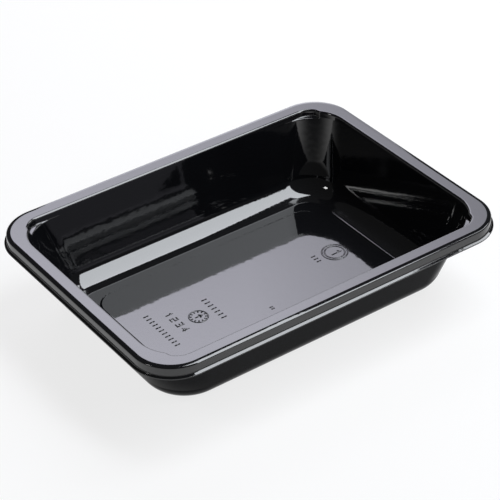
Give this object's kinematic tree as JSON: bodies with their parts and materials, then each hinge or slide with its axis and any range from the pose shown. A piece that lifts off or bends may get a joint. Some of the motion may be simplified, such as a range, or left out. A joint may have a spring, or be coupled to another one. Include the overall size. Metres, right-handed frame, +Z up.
{
  "type": "sealable meal tray",
  "caption": "Shallow rectangular ready-meal tray formed from one black sheet, with a flat sealing flange, turned-down trim lip, sloping walls and rounded corners with small stacking ledges.",
  "frame": {"origin": "middle of the tray's length and width, on the plane it stands on", "axes": "+X along the long side, +Y along the short side, +Z up out of the open mouth"},
  "size_m": [0.187, 0.137, 0.038],
  "materials": {
    "black_plastic": "gloss"
  },
  "bodies": {
    "root": {"meal_tray": "black_plastic"}
  },
  "joints": []
}
